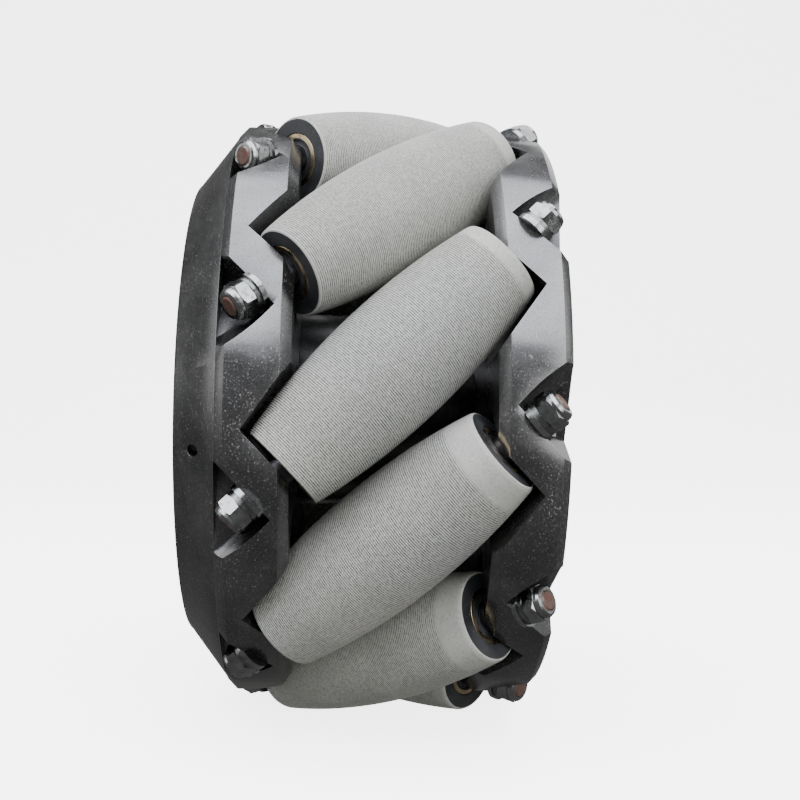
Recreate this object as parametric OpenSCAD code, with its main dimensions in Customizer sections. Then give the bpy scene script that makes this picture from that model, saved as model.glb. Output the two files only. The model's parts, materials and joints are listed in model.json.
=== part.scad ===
// Mecanum wheel: barrel rollers at 45 degrees, held between two notched side plates.
// +Y is the wheel's spin axis and points outboard, +Z is up, and the origin is the wheel's centre.

/* [Wheel] */
// Diameter of the circle that the rollers touch the ground on
wheel_d = 203.2; // [203:0.1:204]
// Number of rollers, and so of pockets in each side plate
roller_count = 10; // [10:10]
// Angle of the first roller's middle, from +X towards +Z
first_roller_deg = 9.8; // [0:0.1:36]
// Radius at which each roller's axle crosses the wheel's middle plane
axle_r = 83.5; // [83.2:0.1:83.8]

/* [Rollers] */
// Length of a roller, end face to end face
roller_len = 86; // [82:1:86]
// Radius of the core tube under the tread
core_r = 11; // [10:0.1:11.5]
// Thickness of the tread at the roller's ends
tread_lip = 0.7; // [0.5:0.1:1.2]
// Radius of the core's middle bore
core_bore_r = 6.2; // [5.5:0.1:6.8]

/* [Side plates] */
// Radius of the side plates' rims
rim_r = 95.5; // [95.4:0.1:96]
// Distance from the middle plane to a plate's inner face
plate_in_y = 28.5; // [28:0.1:29]
// Distance from the middle plane to a plate's outer face
plate_out_y = 49; // [49:0.1:50]
// Chamfer between the rim and the inner face
inner_chamfer = 3; // [2:0.1:4]
// Chamfer between the rim and the outer face
outer_chamfer = 2.6; // [1:0.1:3]
// Distance along the axle from its middle to the wall behind a roller's end
pocket_wall = 44.7; // [44.5:0.1:45]
// Distance along the axle from its middle to the wall that a nut sits on
seat_wall = 55.3; // [55:0.1:56]
// Radius of a nut notch's rounded corner, and distance from the axle to its side wall
notch_r = 8.1; // [7:0.1:9]

/* [Inboard flange] */
// Thickness of the mounting flange on the inboard side
flange_t = 13.3; // [12:0.1:14]
// Radius of the flange where it meets the side plate
flange_r = 92.6; // [91:0.1:92.9]
// Radius of the flange at its free face
flange_face_r = 76.7; // [74:0.1:80]
// Radius of the flange's pilot bore
pilot_r = 19; // [18:0.5:19.5]
// Diameter of the circle of the mounting holes
mount_pcd = 96; // [90:1:110]
// Number of mounting holes
mount_count = 6; // [4:1:8]
// Radius of a mounting hole
mount_hole_r = 3.3; // [2.5:0.1:4]

/* [Hub] */
// Radius of the hub's drum
hub_r = 33; // [32:0.5:40]
// Radius of the hub's spigots, which centre the side plates
spigot_r = 17; // [15:0.5:17.5]
// Radius of the hub's bore
hub_bore_r = 10; // [8:0.5:12]
// Diameter of the circle of the hub's screws
screw_pcd = 53; // [52:1:54]
// Number of hub screws on each side
screw_count = 6; // [4:1:6]
// Length of an outboard hub screw under its head
outboard_screw_len = 25; // [20:5:25]
// Length of an inboard hub screw under its head
inboard_screw_len = 40; // [35:5:40]

/* [Axle hardware] */
// Radius of an axle stud
stud_r = 3; // [3:3]
// Width across the flats of a lock nut
nut_af = 10; // [10:10]
// Radius of a bearing's outer ring
bearing_r = 8.5; // [8.5:8.5]
// Width of a bearing
bearing_w = 6; // [6:6]
// Balls in each bearing
ball_count = 7; // [6:1:7]

/* [Hidden] */
$fn = 72;
eps = 0.01;
run = 0.05;                                // radial clearance of a running or assembled fit
contact_r = wheel_d / 2;                   // radius of the ground contact circle
half_len = roller_len / 2;
end_r = barrel_r(half_len);
lip_len = 3;                               // length of the core's end collars
pocket_draft = 0.18;                       // the pocket opens towards the roller's middle
pocket_end_w = end_r + 1;                  // half width of a pocket at its end wall
pocket_floor = barrel_r(0) + 0.8;          // depth of a pocket below the axle
pocket_mouth = 10;                         // where a pocket's cut ends, along the axle
notch_reach = 60;                          // how far a nut notch is cut, past the plate
above_rim = 30;                            // how far pockets and notches are cut outwards
spacer_r = 4.2;                            // outer radius of the tube between two bearings
ball_r = 1.75;
ball_pitch_r = 5.75;
inner_ring_r = 4.6;                        // outer radius of a bearing's inner ring
outer_ring_in_r = 6.9;                     // inner radius of a bearing's outer ring
bearing_out = half_len - 0.1;              // a bearing sits just inside the core's end face
bearing_in = bearing_out - bearing_w;
bearing_chamfer = 0.3;
flat_washer_t = 1.6;
flat_washer_r = 6;
spring_washer_t = 1.5;
spring_washer_r = 5.3;
washer_bore_r = stud_r + 0.2;
nut_hex_h = 4;
nut_collar_h = 2;
nut_collar_r = 4.8;
stud_past_nut = 0.4;
nut_base = seat_wall + flat_washer_t + spring_washer_t;
stud_end = nut_base + nut_hex_h + nut_collar_h + stud_past_nut;
screw_r = 3;
screw_head_r = 5;
screw_head_h = 6;
screw_hole_r = screw_r + 0.3;
counterbore_r = screw_head_r + 0.4;
head_recess = 0.5;                         // how far a screw's head sits below the face
flange_y = plate_out_y + flange_t;
roller_ids = [for (i = [0 : roller_count - 1]) i];

// Radius of a roller at a distance s along its axle, so that all of them touch one cylinder.
function barrel_r(s) = sqrt(pow(contact_r, 2) - s * s / 2) - axle_r;

// Places a child in roller i's own frame: +X points away from the wheel's axis and
// +Z runs along the axle, from the inboard plate to the outboard one.
module at_roller(i) {
    rotate([0, -(first_roller_deg + i * 360 / roller_count), 0])
        translate([axle_r, 0, 0])
            rotate([-45, 0, 0])
                children();
}

// Places a child at every roller, at one end of its axle: side is 1 outboard and -1 inboard.
module at_axle_ends(side) {
    for (i = roller_ids)
        at_roller(i)
            rotate([side > 0 ? 0 : 180, 0, 0])
                children();
}

// Turns an outline of radius against height into a ring around the wheel's axis.
module around_wheel() {
    rotate([-90, 0, 0])
        rotate_extrude($fn = 180)
            children();
}

module ring(r_in, r_out, z_low, z_high) {
    translate([0, 0, z_low])
        difference() {
            cylinder(r = r_out, h = z_high - z_low);
            translate([0, 0, -1])
                cylinder(r = r_in, h = z_high - z_low + 2);
        }
}

// Places a child on a circle around the wheel's axis.
module around(count, pcd, start = 0) {
    for (i = [0 : count - 1])
        rotate([0, start + i * 360 / count, 0])
            translate([pcd / 2, 0, 0])
                children();
}

// A round hole or pin along the wheel's axis, from y_low to y_high.
module along_y(r, y_low, y_high, sides = $fn) {
    translate([0, y_low, 0])
        rotate([-90, 0, 0])
            cylinder(r = r, h = y_high - y_low, $fn = sides);
}

// ---- Side plates, hub and flange ----

// The pocket that a roller's end turns in, seen along the wheel's radius.
module pocket_cut() {
    reach = pocket_wall - pocket_mouth;
    translate([-pocket_floor, 0, 0])
        rotate([90, 0, 90])
            linear_extrude(pocket_floor + above_rim)
                polygon([
                    [-pocket_end_w, pocket_wall],
                    [pocket_end_w, pocket_wall],
                    [pocket_end_w + reach * pocket_draft, pocket_wall - reach],
                    [-pocket_end_w - reach * pocket_draft, pocket_wall - reach]
                ]);
}

// The notch that a nut sits in. It is open to the rim and to the plate's outer face, and
// its closed corner is rounded about the axle.
module notch_cut() {
    translate([0, 0, seat_wall]) {
        cylinder(r = notch_r, h = notch_reach);
        translate([-notch_r, 0, 0])
            cube([notch_r + above_rim, notch_reach, notch_reach]);
        translate([0, -notch_r, 0])
            cube([above_rim, notch_reach, notch_reach]);
    }
}

module axle_hole() {
    past = 5;
    translate([0, 0, pocket_wall - past])
        cylinder(r = stud_r + run, h = seat_wall - pocket_wall + 2 * past);
}

module plate_blank() {
    around_wheel()
        polygon([
            [spigot_r + run, plate_in_y],
            [rim_r - inner_chamfer, plate_in_y],
            [rim_r, plate_in_y + inner_chamfer],
            [rim_r, plate_out_y - outer_chamfer],
            [rim_r - outer_chamfer, plate_out_y],
            [spigot_r + run, plate_out_y]
        ]);
}

// One side plate. The inboard plate is the outboard one turned half round about a roller's
// own radius, which keeps the hand of the notches.
module side_plate() {
    difference() {
        plate_blank();
        for (i = roller_ids)
            at_roller(i) {
                pocket_cut();
                notch_cut();
                axle_hole();
            }
        around(screw_count, screw_pcd)
            along_y(screw_hole_r, plate_in_y - 1, plate_out_y + 1);
    }
}

module outboard_plate() {
    color("#26262a")
        difference() {
            side_plate();
            around(screw_count, screw_pcd)
                along_y(counterbore_r, plate_out_y - screw_head_h - head_recess, plate_out_y + 1);
        }
}

module inboard_plate() {
    color("#26262a")
        rotate([0, -first_roller_deg, 0])
            rotate([180, 0, 0])
                rotate([0, first_roller_deg, 0])
                    side_plate();
}

module inboard_flange() {
    edge = 0.8;
    counterbore_y = -flange_y + screw_head_h + head_recess;
    color("#2b2b2f")
        difference() {
            around_wheel()
                polygon([
                    [pilot_r, -plate_out_y],
                    [flange_r, -plate_out_y],
                    [flange_face_r, -flange_y + edge],
                    [flange_face_r - edge, -flange_y],
                    [pilot_r, -flange_y]
                ]);
            hub_screw_places_inboard() {
                along_y(screw_hole_r, -flange_y - 1, -plate_out_y + 1);
                along_y(counterbore_r, -flange_y - 1, counterbore_y);
            }
            around(mount_count, mount_pcd, 30)
                along_y(mount_hole_r, -flange_y - 1, -plate_out_y + 1);
            locating_hole();
        }
}

// A small blind hole, drilled radially into the flange's cone.
module locating_hole() {
    hole_r = 1.7;
    depth = 9;
    turn = 7.9;
    middle_r = (flange_r + flange_face_r) / 2;
    rotate([0, turn, 0])
        translate([middle_r - depth, -plate_out_y - flange_t / 2, 0])
            rotate([0, 90, 0])
                cylinder(r = hole_r, h = depth + flange_t);
}

// The inboard screws share the turned plate's hole places.
module hub_screw_places_inboard() {
    rotate([0, -first_roller_deg, 0])
        mirror([0, 0, 1])
            rotate([0, first_roller_deg, 0])
                around(screw_count, screw_pcd)
                    children();
}

module hub_drum() {
    screw_depth = 16;
    color("#3a3b3e")
        difference() {
            union() {
                along_y(hub_r, -plate_in_y, plate_in_y);
                along_y(spigot_r, -plate_out_y, plate_out_y);
            }
            along_y(hub_bore_r, -plate_out_y - 1, plate_out_y + 1);
            around(screw_count, screw_pcd)
                along_y(screw_r + run, plate_in_y - screw_depth, plate_in_y + 1);
            hub_screw_places_inboard()
                along_y(screw_r + run, -plate_in_y - 1, -plate_in_y + screw_depth);
        }
}

// A socket head screw along -Y, with its head's top at y = 0.
module hub_screw(shank_len) {
    socket_af = 5;
    socket_depth = 3;
    difference() {
        union() {
            along_y(screw_head_r, -screw_head_h, 0);
            along_y(screw_r, -screw_head_h - shank_len, -screw_head_h + eps);
        }
        along_y(socket_af / sqrt(3), -socket_depth, 1, 6);
    }
}

module outboard_hub_screws() {
    color("#1b1b1d")
        around(screw_count, screw_pcd)
            translate([0, plate_out_y - head_recess, 0])
                hub_screw(outboard_screw_len);
}

module inboard_hub_screws() {
    color("#1b1b1d")
        hub_screw_places_inboard()
            translate([0, -flange_y + head_recess, 0])
                mirror([0, 1, 0])
                    hub_screw(inboard_screw_len);
}

// ---- Axles, from the middle of a roller outwards ----

module axle_studs() {
    tip = 0.5;
    color("#a87a5c")
        for (i = roller_ids)
            at_roller(i)
                rotate_extrude()
                    polygon([
                        [0, -stud_end],
                        [stud_r - tip, -stud_end],
                        [stud_r, -stud_end + tip],
                        [stud_r, stud_end - tip],
                        [stud_r - tip, stud_end],
                        [0, stud_end]
                    ]);
}

module axle_spacers() {
    color("#8d9094")
        for (i = roller_ids)
            at_roller(i)
                ring(stud_r + run, spacer_r, -bearing_in, bearing_in);
}

// Half of a bearing's race groove, as a circle that both rings are cut with.
module race_groove() {
    translate([ball_pitch_r, (bearing_in + bearing_out) / 2])
        circle(r = ball_r + run, $fn = 48);
}

// A bearing's ring. wide_r is the radius of its fitted face, whose edges are chamfered,
// and race_side_r is the radius of the face that its race groove is in.
module bearing_ring(wide_r, race_side_r) {
    inward = sign(race_side_r - wide_r) * bearing_chamfer;
    rotate_extrude()
        difference() {
            polygon([
                [race_side_r, bearing_in],
                [wide_r + inward, bearing_in],
                [wide_r, bearing_in + bearing_chamfer],
                [wide_r, bearing_out - bearing_chamfer],
                [wide_r + inward, bearing_out],
                [race_side_r, bearing_out]
            ]);
            race_groove();
        }
}

module bearing_inner_rings() {
    color("#b9bcbf")
        for (side = [-1, 1])
            at_axle_ends(side)
                bearing_ring(stud_r + run, inner_ring_r);
}

module thrust_collars() {
    color("#6f7275")
        for (side = [-1, 1])
            at_axle_ends(side)
                ring(stud_r + run, inner_ring_r, bearing_out, pocket_wall);
}

module flat_washers(side) {
    color("#c3c6c8")
        at_axle_ends(side)
            ring(washer_bore_r, flat_washer_r, seat_wall, seat_wall + flat_washer_t);
}

// A spring washer is a ring with a slanting cut.
module spring_washers(side) {
    low = seat_wall + flat_washer_t;
    cut_w = 0.5;
    cut_len = 6;
    slant = 35;
    color("#9a9da0")
        at_axle_ends(side)
            difference() {
                ring(washer_bore_r, spring_washer_r, low, low + spring_washer_t);
                translate([0, 0, low + spring_washer_t / 2])
                    rotate([0, 0, 110])
                        translate([(washer_bore_r + spring_washer_r) / 2, 0, 0])
                            rotate([slant, 0, 0])
                                cube([cut_len, cut_w, cut_len], center = true);
            }
}

// A hexagon with turned corners, and a domed locking collar on top.
module lock_nut() {
    corner_r = nut_af / sqrt(3);
    flat_r = nut_af / 2;
    over = 0.05;
    bevel = 0.5;
    top = nut_base + nut_hex_h;
    difference() {
        union() {
            intersection() {
                translate([0, 0, nut_base])
                    cylinder(r = corner_r, h = nut_hex_h, $fn = 6);
                rotate_extrude()
                    polygon([
                        [0, nut_base],
                        [flat_r + over, nut_base],
                        [corner_r + over, nut_base + bevel],
                        [corner_r + over, top - bevel],
                        [flat_r + over, top],
                        [0, top]
                    ]);
            }
            rotate_extrude()
                polygon([
                    [0, top - eps],
                    [nut_collar_r, top - eps],
                    [nut_collar_r, top + nut_collar_h * 0.45],
                    [nut_collar_r - 0.4, top + nut_collar_h * 0.85],
                    [nut_collar_r - 1, top + nut_collar_h],
                    [0, top + nut_collar_h]
                ]);
        }
        translate([0, 0, nut_base - 1])
            cylinder(r = stud_r + run, h = nut_hex_h + nut_collar_h + 2);
    }
}

module lock_nuts(side) {
    color("#d4d7da")
        at_axle_ends(side)
            lock_nut();
}

module inboard_flat_washers() { flat_washers(-1); }
module outboard_flat_washers() { flat_washers(1); }
module inboard_spring_washers() { spring_washers(-1); }
module outboard_spring_washers() { spring_washers(1); }
module inboard_lock_nuts() { lock_nuts(-1); }
module outboard_lock_nuts() { lock_nuts(1); }

// ---- Rollers ----

// The moulded tread: its outside follows barrel_r, its inside fits the core.
module roller_tread(i) {
    steps = 20;
    color("#9a9b96")
        at_roller(i)
            rotate_extrude()
                polygon([
                    for (k = [0 : steps])
                        let (s = -half_len + k * roller_len / steps)
                            [barrel_r(s), s],
                    [end_r - tread_lip, half_len],
                    [end_r - tread_lip, half_len - lip_len],
                    [core_r, half_len - lip_len],
                    [core_r, -half_len + lip_len],
                    [end_r - tread_lip, -half_len + lip_len],
                    [end_r - tread_lip, -half_len]
                ]);
}

// The core: a tube with a collar and a bearing seat at each end.
module roller_core(i) {
    color("#1d1e20")
        at_roller(i)
            rotate_extrude()
                polygon([
                    [core_bore_r, -bearing_in],
                    [bearing_r, -bearing_in],
                    [bearing_r, -half_len],
                    [end_r - tread_lip, -half_len],
                    [end_r - tread_lip, -half_len + lip_len],
                    [core_r, -half_len + lip_len],
                    [core_r, half_len - lip_len],
                    [end_r - tread_lip, half_len - lip_len],
                    [end_r - tread_lip, half_len],
                    [bearing_r, half_len],
                    [bearing_r, bearing_in],
                    [core_bore_r, bearing_in]
                ]);
}

module roller_outer_rings(i) {
    color("#c9a860")
        at_roller(i)
            for (turn = [0, 180])
                rotate([turn, 0, 0])
                    bearing_ring(bearing_r, outer_ring_in_r);
}

module roller_balls(i) {
    color("#d9dcde")
        at_roller(i)
            for (turn = [0, 180], b = [0 : ball_count - 1])
                rotate([turn, 0, 0])
                    rotate([0, 0, b * 360 / ball_count])
                        translate([ball_pitch_r, 0, (bearing_in + bearing_out) / 2])
                            sphere(r = ball_r, $fn = 24);
}

inboard_plate();
outboard_plate();
inboard_flange();
hub_drum();
inboard_hub_screws();
outboard_hub_screws();
axle_studs();
axle_spacers();
bearing_inner_rings();
thrust_collars();
inboard_flat_washers();
outboard_flat_washers();
inboard_spring_washers();
outboard_spring_washers();
inboard_lock_nuts();
outboard_lock_nuts();
for (i = roller_ids) {
    roller_tread(i);
    roller_core(i);
    roller_outer_rings(i);
    roller_balls(i);
}
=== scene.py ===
"""A mecanum wheel: looks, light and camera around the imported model. Lengths are in metres."""

import json
import math
import random

import bmesh
import bpy
from mathutils import Matrix, Vector


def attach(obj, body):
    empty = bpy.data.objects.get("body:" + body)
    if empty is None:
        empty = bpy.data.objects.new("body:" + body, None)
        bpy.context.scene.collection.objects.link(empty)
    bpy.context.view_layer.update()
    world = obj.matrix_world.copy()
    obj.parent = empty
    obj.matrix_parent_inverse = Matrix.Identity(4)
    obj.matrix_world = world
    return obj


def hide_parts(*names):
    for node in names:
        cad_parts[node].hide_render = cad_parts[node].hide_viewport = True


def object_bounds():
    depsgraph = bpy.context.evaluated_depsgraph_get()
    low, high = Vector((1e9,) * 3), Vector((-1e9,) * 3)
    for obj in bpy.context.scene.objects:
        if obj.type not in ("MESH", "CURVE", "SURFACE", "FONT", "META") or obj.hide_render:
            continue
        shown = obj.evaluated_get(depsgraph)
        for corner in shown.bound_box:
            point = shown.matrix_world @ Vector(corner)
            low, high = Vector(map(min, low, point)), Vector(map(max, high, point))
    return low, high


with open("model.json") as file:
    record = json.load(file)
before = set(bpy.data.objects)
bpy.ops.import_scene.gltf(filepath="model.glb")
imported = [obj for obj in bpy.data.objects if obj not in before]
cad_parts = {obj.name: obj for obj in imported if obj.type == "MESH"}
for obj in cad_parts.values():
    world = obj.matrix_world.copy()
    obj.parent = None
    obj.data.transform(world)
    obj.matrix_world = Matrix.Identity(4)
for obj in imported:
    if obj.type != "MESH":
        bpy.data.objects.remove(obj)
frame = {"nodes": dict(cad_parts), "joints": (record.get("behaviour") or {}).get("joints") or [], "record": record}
CAD_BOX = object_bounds()
NODES = frame["nodes"]
MM = 0.001

# The camera stands in front of the wheel's edge, a little towards the flange side.
CAMERA_AZIMUTH = math.radians(-2.96)
CAMERA_ROLL = math.radians(1.19)
CAMERA_DISTANCE = 0.408
CAMERA_TARGET = Vector((0, 0.0061, 0.0037))
CAMERA_LENS = 52.15

# The treads: fine turned grooves, and a smooth band at the outboard end.
GROOVE_PITCH = 0.64 * MM
GROOVE_DEPTH = 0.17 * MM
GROOVE_SHAPE = ((0.0, 1.0), (0.3, 0.0), (0.7, 0.0))   # share of a pitch, share of the depth
GROOVE_FADE = 3 * GROOVE_PITCH       # length over which the grooves run out
SMOOTH_BANDS = (2 * MM, 9 * MM)      # least and most length of the smooth band
TREAD_SIDES = 72
TREAD_CORNER = 0.7 * MM              # rounding of a tread's ends
TREAD_INSET = 0.03 * MM              # keeps the treads within the CAD solids
LIP_LEN = 3 * MM                     # length of the core's collar inside a tread's end

# The bearings' rubber seals.
SEAL_GAP = 0.05 * MM
SEAL_BEAD = 0.28 * MM                # radius of the bead round the outer edge
SEAL_THICKNESS = 0.35 * MM
SEAL_SIDES = 64

# Marks on metal.
WEAR_RADIUS = 0.5 * MM               # how far rubbed edges reach
TOOL_MARK_PITCH = 0.4 * MM


# ---------------------------------------------------------------- materials


class Shader:
    """A Principled material with short helpers for its node tree."""

    def __init__(self, name, base, metallic, roughness):
        self.material = bpy.data.materials.new(name)
        self.material.use_nodes = True
        self.tree = self.material.node_tree
        self.bsdf = self.tree.nodes["Principled BSDF"]
        self.set("Base Color", (*base, 1))
        self.set("Metallic", metallic)
        self.set("Roughness", roughness)
        self.place = self.add("ShaderNodeTexCoord").outputs["Object"]
        self.height = None

    def add(self, kind, **settings):
        node = self.tree.nodes.new(kind)
        for key, value in settings.items():
            setattr(node, key, value)
        return node

    def set(self, socket, value):
        self.bsdf.inputs[socket].default_value = value

    def drive(self, socket, output):
        self.tree.links.new(output, self.bsdf.inputs[socket])

    def plug(self, node, socket, value):
        """Gives a node's socket a number, a colour or another node's output."""
        if isinstance(value, bpy.types.NodeSocket):
            self.tree.links.new(value, node.inputs[socket])
        else:
            node.inputs[socket].default_value = value

    def stretched(self, scale):
        node = self.add("ShaderNodeMapping")
        self.plug(node, "Vector", self.place)
        self.plug(node, "Scale", scale)
        return node.outputs["Vector"]

    def noise(self, scale, detail=4.0, roughness=0.55, distortion=0.0, vector=None):
        node = self.add("ShaderNodeTexNoise")
        self.plug(node, "Vector", vector or self.place)
        self.plug(node, "Scale", scale)
        self.plug(node, "Detail", detail)
        self.plug(node, "Roughness", roughness)
        self.plug(node, "Distortion", distortion)
        return node.outputs["Fac"]

    def ramp(self, fac, low, high, at_low=0.0, at_high=1.0):
        node = self.add("ShaderNodeMapRange", interpolation_type="SMOOTHSTEP")
        for socket, value in zip(
            ("Value", "From Min", "From Max", "To Min", "To Max"),
            (fac, low, high, at_low, at_high),
        ):
            self.plug(node, socket, value)
        return node.outputs["Result"]

    def math(self, operation, a, b=0.0):
        node = self.add("ShaderNodeMath", operation=operation)
        self.plug(node, 0, a)
        self.plug(node, 1, b)
        return node.outputs["Value"]

    def blend(self, fac, a, b):
        """A colour between a and b. A Mix node's colours are its inputs 6 and 7 and its output 2."""
        node = self.add("ShaderNodeMix", data_type="RGBA")
        self.plug(node, 0, fac)
        for socket, value in ((6, a), (7, b)):
            self.plug(node, socket, (*value, 1) if isinstance(value, tuple) else value)
        return node.outputs[2]

    def bump(self, height, distance, strength=1.0):
        """Adds a bump on top of the ones already there."""
        node = self.add("ShaderNodeBump")
        self.plug(node, "Height", height)
        self.plug(node, "Distance", distance)
        self.plug(node, "Strength", strength)
        if self.height is not None:
            self.tree.links.new(self.height, node.inputs["Normal"])
        self.height = node.outputs["Normal"]
        self.drive("Normal", self.height)

    def wear(self):
        """Nearly 1 at outer edges and 0 on flats, from a bevelled normal."""
        bevel = self.add("ShaderNodeBevel", samples=6)
        self.plug(bevel, "Radius", WEAR_RADIUS)
        true_normal = self.add("ShaderNodeNewGeometry").outputs["Normal"]
        node = self.add("ShaderNodeVectorMath", operation="DOT_PRODUCT")
        self.tree.links.new(bevel.outputs["Normal"], node.inputs[0])
        self.tree.links.new(true_normal, node.inputs[1])
        return self.ramp(node.outputs["Value"], 0.97, 0.75)


def anodised(name, tone=1.0):
    """Bead-blasted black anodised aluminium, with fine pale dust and rubbed edges."""
    s = Shader(name, (0.15, 0.15, 0.15), 1.0, 0.3)
    cloud = s.noise(38, detail=5)
    grains = s.noise(2100, detail=2, roughness=0.6)
    dust = s.math("MULTIPLY", s.ramp(grains, 0.6, 0.72), s.ramp(cloud, 0.3, 0.66, 0.35, 1.0))
    dark = tuple(tone * c for c in (0.145, 0.147, 0.15))
    light = tuple(tone * c for c in (0.21, 0.21, 0.212))
    metal = s.blend(s.ramp(cloud, 0.35, 0.7), dark, light)
    stain = s.ramp(s.noise(30, detail=4, distortion=0.6), 0.6, 0.76, 0.0, 0.3)
    metal = s.blend(stain, metal, (0.13, 0.115, 0.1))
    metal = s.blend(s.ramp(grains, 0.46, 0.34, 0.0, 0.35), metal, (0.05, 0.05, 0.05))
    metal = s.blend(s.math("MULTIPLY", dust, 0.62), metal, (0.4, 0.4, 0.39))
    rubbed = s.math("MULTIPLY", s.wear(), 0.45)
    smooth = s.ramp(cloud, 0.3, 0.7, 0.25, 0.34)
    s.drive("Base Color", s.blend(rubbed, metal, (0.5, 0.5, 0.5)))
    s.drive("Metallic", s.math("SUBTRACT", 0.97, s.math("MULTIPLY", dust, 0.8)))
    s.drive("Roughness", s.math("ADD", smooth, s.math("MULTIPLY", dust, 0.3)))
    s.bump(grains, 0.03 * MM, 0.5)
    s.bump(s.noise(300, detail=3), 0.02 * MM, 0.12)
    return s.material


def turned(name, base, roughness, dirt, dirt_colour=(0.05, 0.045, 0.04)):
    """Turned or plated metal: fine tool marks, dull patches and spots of dirt."""
    s = Shader(name, base, 1.0, roughness)
    patches = s.noise(260, detail=4)
    marks = s.noise(1.0 / TOOL_MARK_PITCH, detail=2, vector=s.stretched((1, 0.12, 1)))
    grime = s.ramp(s.noise(700, detail=4, distortion=0.4), 0.5, 0.72, 0.0, dirt)
    dull = tuple(0.75 * c for c in base)
    bright = tuple(1.12 * c for c in base)
    worn = s.blend(s.ramp(patches, 0.3, 0.75), dull, bright)
    smooth = s.ramp(patches, 0.3, 0.7, roughness * 0.75, roughness * 1.3)
    s.drive("Base Color", s.blend(grime, worn, dirt_colour))
    s.drive("Roughness", s.math("ADD", smooth, s.math("MULTIPLY", grime, 0.5)))
    s.bump(marks, 0.012 * MM, 0.4)
    return s.material


def tread_rubber():
    """Grey moulded rubber: painted shade as dark lines in the turned grooves, a fine grain and pale dust."""
    s = Shader("tread_rubber", (0.33, 0.33, 0.31), 0.0, 0.7)
    groove = s.add("ShaderNodeAttribute", attribute_name="groove").outputs["Fac"]
    weave = s.ramp(s.noise(1100, detail=2), 0.34, 0.62, 0.45, 1.0)
    # Painted shade: the colour darkens nearly to black towards each groove's bottom, broken up by a fine noise.
    groove_shade = s.math("MULTIPLY", s.ramp(groove, 0.05, 0.7), weave)
    cloud = s.noise(45, detail=5, roughness=0.6)
    grain = s.noise(1250, detail=3, roughness=0.6)
    grey = s.blend(s.ramp(cloud, 0.3, 0.72), (0.35, 0.356, 0.327), (0.445, 0.447, 0.413))
    cool = s.ramp(s.noise(18, detail=3), 0.45, 0.7, 0.0, 0.5)
    grey = s.blend(cool, grey, (0.37, 0.385, 0.385))
    grey = s.blend(s.ramp(grain, 0.5, 0.32, 0.0, 0.4), grey, (0.16, 0.16, 0.15))
    grey = s.blend(groove_shade, grey, (0.045, 0.045, 0.04))
    specks = s.ramp(grain, 0.66, 0.76, 0.0, 0.6)
    s.drive("Base Color", s.blend(specks, grey, (0.72, 0.72, 0.7)))
    s.drive("Roughness", s.ramp(cloud, 0.3, 0.7, 0.6, 0.78))
    s.set("Specular IOR Level", 0.35)
    s.bump(grain, 0.06 * MM, 0.6)
    return s.material


def moulded_black():
    """Black nylon of the roller cores, with a fine grain and grey dust."""
    s = Shader("core_plastic", (0.02, 0.021, 0.023), 0.0, 0.5)
    cloud = s.noise(120, detail=4)
    dust = s.ramp(s.noise(900, detail=3), 0.58, 0.78, 0.0, 0.4)
    black = s.blend(s.ramp(cloud, 0.3, 0.7), (0.014, 0.015, 0.017), (0.035, 0.036, 0.04))
    s.drive("Base Color", s.blend(dust, black, (0.12, 0.12, 0.12)))
    s.drive("Roughness", s.ramp(cloud, 0.3, 0.7, 0.4, 0.6))
    s.bump(s.noise(2000, detail=2), 0.02 * MM, 0.4)
    return s.material


def rusty_stud():
    """Bare steel stud, dulled by brown rust."""
    s = Shader("stud_steel", (0.16, 0.1, 0.08), 1.0, 0.5)
    patches = s.noise(700, detail=5, roughness=0.6)
    rust = s.ramp(patches, 0.34, 0.6)
    s.drive("Base Color", s.blend(rust, (0.17, 0.14, 0.125), (0.13, 0.062, 0.045)))
    s.drive("Metallic", s.ramp(patches, 0.34, 0.6, 0.9, 0.3))
    s.drive("Roughness", s.ramp(patches, 0.34, 0.6, 0.42, 0.7))
    s.bump(patches, 0.05 * MM, 0.6)
    return s.material


MATERIALS = {
    "black_anodised": anodised("black_anodised"),
    "hub_aluminium": anodised("hub_aluminium", tone=0.8),
    "black_steel": turned("black_steel", (0.06, 0.06, 0.065), 0.4, 0.3, (0.1, 0.09, 0.08)),
    "stud_steel": rusty_stud(),
    "spacer_steel": turned("spacer_steel", (0.1, 0.1, 0.105), 0.38, 0.3),
    "bearing_steel": turned("bearing_steel", (0.6, 0.61, 0.62), 0.2, 0.2),
    "bearing_gold": turned("bearing_gold", (0.66, 0.54, 0.34), 0.3, 0.3),
    "zinc_steel": turned("zinc_steel", (0.36, 0.37, 0.37), 0.2, 0.45, (0.09, 0.085, 0.075)),
    "spring_steel": turned("spring_steel", (0.24, 0.25, 0.25), 0.3, 0.4),
    "tread_rubber": tread_rubber(),
    "core_plastic": moulded_black(),
}


def dress(piece, slot):
    """Gives a piece the material of one of the record's slots."""
    piece.data.materials.clear()
    piece.data.materials.append(MATERIALS[slot])


# ---------------------------------------------------------------- rollers

SPINS = [j for j in frame["joints"] if j["name"].endswith("_spin")]


def roller_matrix(joint):
    """A roller's own frame: +Z along its axle, +X away from the wheel's axis."""
    axle = Vector(joint["axis"]).normalized()
    out = Vector(joint["pos_m"]).normalized()
    side = axle.cross(out)
    turn = Matrix((out, side, axle)).transposed().to_4x4()
    return Matrix.Translation(Vector(joint["pos_m"])) @ turn


def roller_points(node, matrix):
    """Distance from the axle and place along it, for every vertex of a CAD node."""
    to_roller = matrix.inverted()
    points = [to_roller @ v.co for v in NODES[node].data.vertices]
    return [(math.hypot(p.x, p.y), p.z) for p in points]


def measure_tread(points):
    """The tread's half length and largest radius, and the radii of the core's collar and tube."""
    half_len = max(z for r, z in points)
    radii = [r for r, z in points]
    lip_r = min(r for r, z in points if z > half_len - 0.01 * MM)
    return half_len, max(radii), lip_r, min(radii)


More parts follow.
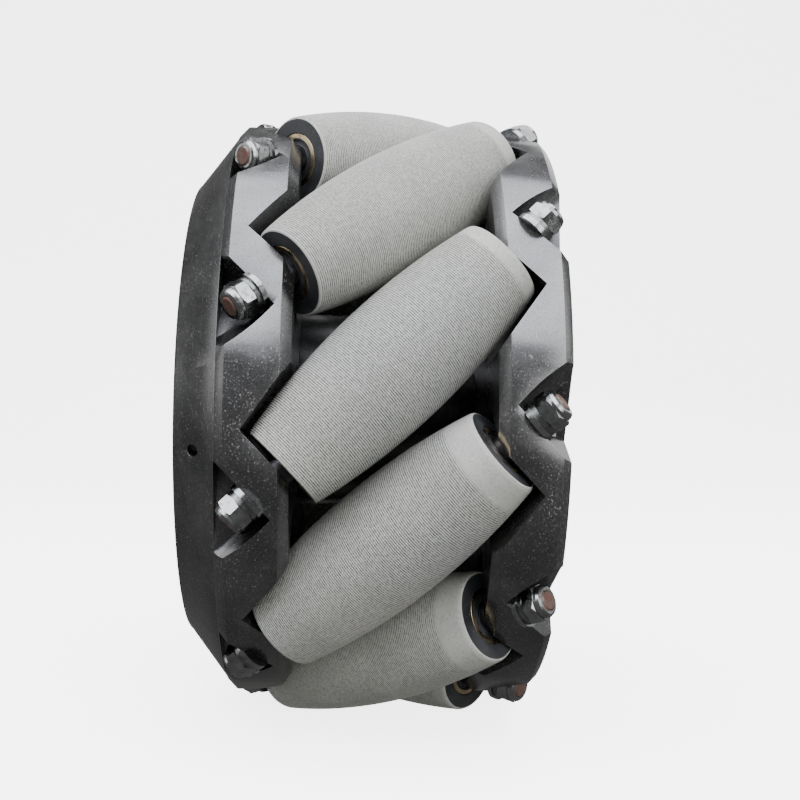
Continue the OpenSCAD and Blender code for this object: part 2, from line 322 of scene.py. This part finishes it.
def tread_profile(half_len, middle_r, lip_r, core_r, axle_r, smooth_band):
    """The tread's closed section: radius, place along the axle, and 1 at a groove's bottom."""
    wheel_r = axle_r + middle_r

    def barrel(s):
        return math.sqrt(wheel_r ** 2 - s * s / 2) - axle_r - TREAD_INSET

    outline = []
    count = int((half_len - TREAD_CORNER) / GROOVE_PITCH)
    for k in range(-count, count):
        for share, depth in GROOVE_SHAPE:
            s = (k + share) * GROOVE_PITCH
            fade = min(1.0, max(0.0, (half_len - smooth_band - s) / GROOVE_FADE))
            outline.append((barrel(s) - depth * fade * GROOVE_DEPTH, s, depth * fade))
    for side in (1, -1):
        arc = []
        for k in range(5):
            a = k * math.pi / 8
            r = barrel(half_len) - TREAD_CORNER * (1 - math.cos(a))
            arc.append((r, side * (half_len - TREAD_CORNER * (1 - math.sin(a))), 0.0))
        inner = [
            (lip_r, side * half_len, 0.0),
            (lip_r, side * (half_len - LIP_LEN), 0.0),
            (core_r, side * (half_len - LIP_LEN), 0.0),
        ]
        if side == 1:
            outline += arc + inner
        else:
            outline = list(reversed(arc + inner)) + outline
    return outline


def revolve(name, outline, sides):
    """A closed ring-shaped mesh from a closed outline of radius, height and groove depth."""
    bm = bmesh.new()
    groove = bm.verts.layers.float.new("groove")
    rings = []
    for k in range(sides):
        a = k * math.tau / sides
        points = []
        for r, z, depth in outline:
            point = bm.verts.new((r * math.cos(a), r * math.sin(a), z))
            point[groove] = depth
            points.append(point)
        rings.append(points)
    for k in range(sides):
        near, far = rings[k], rings[(k + 1) % sides]
        for j in range(len(outline)):
            n = (j + 1) % len(outline)
            bm.faces.new((near[j], far[j], far[n], near[n]))
    bmesh.ops.recalc_face_normals(bm, faces=bm.faces)
    mesh = bpy.data.meshes.new(name)
    bm.to_mesh(mesh)
    bm.free()
    mesh.shade_smooth()
    mesh.set_sharp_from_angle(angle=math.radians(50))
    return mesh


def place_mesh(name, mesh, matrix):
    """Puts a mesh made in a roller's frame into the wheel's own frame."""
    mesh.transform(matrix)
    piece = bpy.data.objects.new(name, mesh)
    bpy.context.scene.collection.objects.link(piece)
    return piece


def make_treads():
    """One grooved tread for each roller. How far its smooth end reaches varies with wear."""
    wear = random.Random(4)
    for i, joint in enumerate(SPINS):
        matrix = roller_matrix(joint)
        node = f"roller_{i}_tread"
        sizes = measure_tread(roller_points(node, matrix))
        axle_r = Vector(joint["pos_m"]).length
        outline = tread_profile(*sizes, axle_r, wear.uniform(*SMOOTH_BANDS))
        turn = Matrix.Rotation(wear.uniform(0, math.tau), 4, "Z")
        mesh = revolve(node, outline, TREAD_SIDES)
        piece = place_mesh(f"grooved_tread_{i}", mesh, matrix @ turn)
        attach(piece, joint["child"])
        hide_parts(node)
        dress(piece, "tread_rubber")


# ---------------------------------------------------------------- bearing seals


def seal_outline(out_r, in_r, face):
    """Section of a rubber seal: a thin dished ring with a raised bead at its outer edge."""
    dish = face - 1.6 * SEAL_BEAD
    rim = face - 0.8 * SEAL_BEAD
    outline = []
    for k in range(9):
        a = k * math.pi / 8
        r = out_r - SEAL_BEAD * (1 - math.cos(a))
        outline.append((r, face - SEAL_BEAD * (1 - math.sin(a)), 0.0))
    outline.append((out_r - 2.4 * SEAL_BEAD, dish, 0.0))
    outline.append((in_r + 2 * SEAL_BEAD, dish, 0.0))
    outline.append((in_r, rim, 0.0))
    outline.append((in_r, rim - SEAL_THICKNESS, 0.0))
    outline.append((out_r, rim - SEAL_THICKNESS, 0.0))
    return outline


def make_seals():
    """A black rubber seal in both bearings of each roller, turning with the roller."""
    for i, joint in enumerate(SPINS):
        matrix = roller_matrix(joint)
        outer_ring = roller_points(f"roller_{i}_outer_rings", matrix)
        out_r = min(r for r, z in outer_ring)
        face = max(z for r, z in outer_ring)
        inner_rings = roller_points("bearing_inner_rings", matrix)
        in_r = max(r for r, z in inner_rings if r < out_r and abs(z) < 1.05 * face)
        outline = seal_outline(out_r - SEAL_GAP, in_r + 3 * SEAL_GAP, face - SEAL_GAP)
        for side, turn in (("outboard", 0), ("inboard", math.pi)):
            flip = Matrix.Rotation(turn, 4, "X")
            mesh = revolve("seal", outline, SEAL_SIDES)
            piece = place_mesh(f"{side}_seal_{i}", mesh, matrix @ flip)
            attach(piece, joint["child"])
            dress(piece, "core_plastic")


# ---------------------------------------------------------------- machined parts


def soften(piece, width):
    """Rounds a machined part's sharp edges, without changing its own mesh."""
    weld = piece.modifiers.new("weld", "WELD")
    weld.merge_threshold = 0.001 * MM
    flatten = piece.modifiers.new("flatten", "DECIMATE")
    flatten.decimate_type = "DISSOLVE"
    flatten.angle_limit = math.radians(0.2)
    bevel = piece.modifiers.new("bevel", "BEVEL")
    bevel.width = width
    bevel.segments = 2
    bevel.limit_method = "ANGLE"
    bevel.angle_limit = math.radians(28)
    bevel.use_clamp_overlap = True


EDGE_WIDTHS = {
    "inboard_plate": 0.35 * MM,
    "outboard_plate": 0.35 * MM,
    "inboard_flange": 0.4 * MM,
    "hub_drum": 0.3 * MM,
}


def dress_cad_nodes():
    """Dresses every CAD node that is shown. The ones that a tread replaces are hidden."""
    for entry in frame["record"]["subparts"]:
        piece = NODES[entry["node"]]
        if piece.hide_render:
            continue
        dress(piece, entry["material_slot"])
        if entry["node"] in EDGE_WIDTHS:
            soften(piece, EDGE_WIDTHS[entry["node"]])


# ---------------------------------------------------------------- stage


def stage_material():
    """White, and glowing like the walls of a light tent."""
    s = Shader("pale_stage", (0.9, 0.9, 0.9), 0.0, 0.9)
    cloud = s.noise(3, detail=2)
    s.drive("Base Color", s.blend(cloud, (0.9, 0.9, 0.9), (0.92, 0.92, 0.92)))
    s.set("Emission Color", (1, 1, 1, 1))
    s.set("Emission Strength", 4)
    return s.material


def make_floor():
    """A pale floor, just under the lowest rollers, that curves up into a backdrop."""
    floor_z = CAD_BOX[0].z - 0.1 * MM
    far, bend, half_width, top = 2.6, 1.2, 4.0, 4.0
    outline = [(-far, top)]
    for k in range(13):
        a = k * math.pi / 24
        outline.append((-far + bend * (1 - math.cos(a)), floor_z + bend * (1 - math.sin(a))))
    outline.append((far, floor_z))
    bm = bmesh.new()
    rows = [[bm.verts.new((x, y, z)) for y in (-half_width, half_width)] for x, z in outline]
    for a, b in zip(rows, rows[1:]):
        bm.faces.new((a[0], b[0], b[1], a[1]))
    mesh = bpy.data.meshes.new("floor")
    bm.to_mesh(mesh)
    bm.free()
    mesh.shade_smooth()
    floor = bpy.data.objects.new("floor", mesh)
    bpy.context.scene.collection.objects.link(floor)
    mesh.materials.append(stage_material())
    floor.visible_glossy = False
    floor.visible_diffuse = False


def soft_light(name, place, size, power, tint=(1, 1, 1), glossy=True):
    """A rectangular light that faces the wheel. Without glossy, no surface mirrors it."""
    data = bpy.data.lights.new(name, "AREA")
    data.shape = "RECTANGLE"
    data.size, data.size_y = size
    data.energy = power
    data.color = tint
    light = bpy.data.objects.new(name, data)
    bpy.context.scene.collection.objects.link(light)
    light.location = place
    light.rotation_euler = (-Vector(place)).to_track_quat("-Z", "Y").to_euler()
    light.visible_glossy = glossy


def make_lights():
    """A broad light overhead, which the black metal mirrors, and weak fills all round."""
    soft_light("overhead", (0.5, -0.15, 1.25), (2.6, 2.0), 84, (0.93, 0.95, 1.0))
    soft_light("front_fill", (1.6, 0.2, 0.2), (1.6, 1.2), 17, glossy=False)
    soft_light("back_fill", (-1.5, 0.6, 0.9), (1.2, 1.2), 9)
    soft_light("left_fill", (0.2, -1.7, 0.6), (1.0, 1.2), 5)
    soft_light("right_fill", (0.1, 1.7, 0.6), (1.0, 1.2), 6)
    soft_light("right_front_fill", (1.05, 0.75, 0.28), (0.7, 0.7), 6)
    world = bpy.data.worlds.new("studio")
    world.use_nodes = True
    background = world.node_tree.nodes["Background"]
    background.inputs["Color"].default_value = (1.0, 1.0, 0.98, 1)
    background.inputs["Strength"].default_value = 0.16
    bpy.context.scene.world = world


def make_camera():
    """Looks level at the wheel's edge, with a slight roll."""
    data = bpy.data.cameras.new("camera")
    data.lens = CAMERA_LENS
    data.sensor_width = 36
    data.clip_start = 0.01
    camera = bpy.data.objects.new("camera", data)
    bpy.context.scene.collection.objects.link(camera)
    back = Vector((math.cos(CAMERA_AZIMUTH), math.sin(CAMERA_AZIMUTH), 0))
    right = Vector((0, 0, 1)).cross(back)
    turn = Matrix((right, Vector((0, 0, 1)), back)).transposed().to_4x4()
    turn = turn @ Matrix.Rotation(CAMERA_ROLL, 4, "Z")
    camera.matrix_world = Matrix.Translation(CAMERA_TARGET + CAMERA_DISTANCE * back) @ turn
    bpy.context.scene.camera = camera


make_camera()
make_lights()
make_floor()
make_treads()
make_seals()
dress_cad_nodes()
